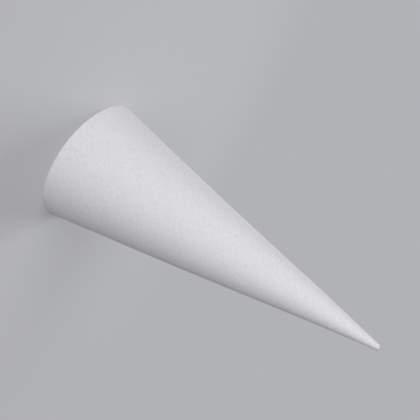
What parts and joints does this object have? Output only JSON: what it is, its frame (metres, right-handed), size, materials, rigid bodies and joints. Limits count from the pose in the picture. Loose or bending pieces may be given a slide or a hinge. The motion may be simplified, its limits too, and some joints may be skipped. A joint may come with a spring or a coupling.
{
  "type": "paper cone sleeve",
  "caption": "Plain white paper cone: a fan-shaped sheet rolled on itself with a glued overlap seam, open at the wide mouth, with a blunt tip. Holds a cone-shaped food or small loose goods.",
  "frame": {"origin": "centre of the open mouth, in the plane of the rim that the cone stands on", "axes": "+Z along the cone's axis, from the mouth to the blunt tip; +Y from the axis towards the middle of the glued overlap, so the plain side faces -Y"},
  "size_m": [0.0652, 0.0655, 0.1641],
  "materials": {
    "white_paper": "matte"
  },
  "bodies": {
    "root": {"paper_cone": "white_paper"}
  },
  "joints": []
}
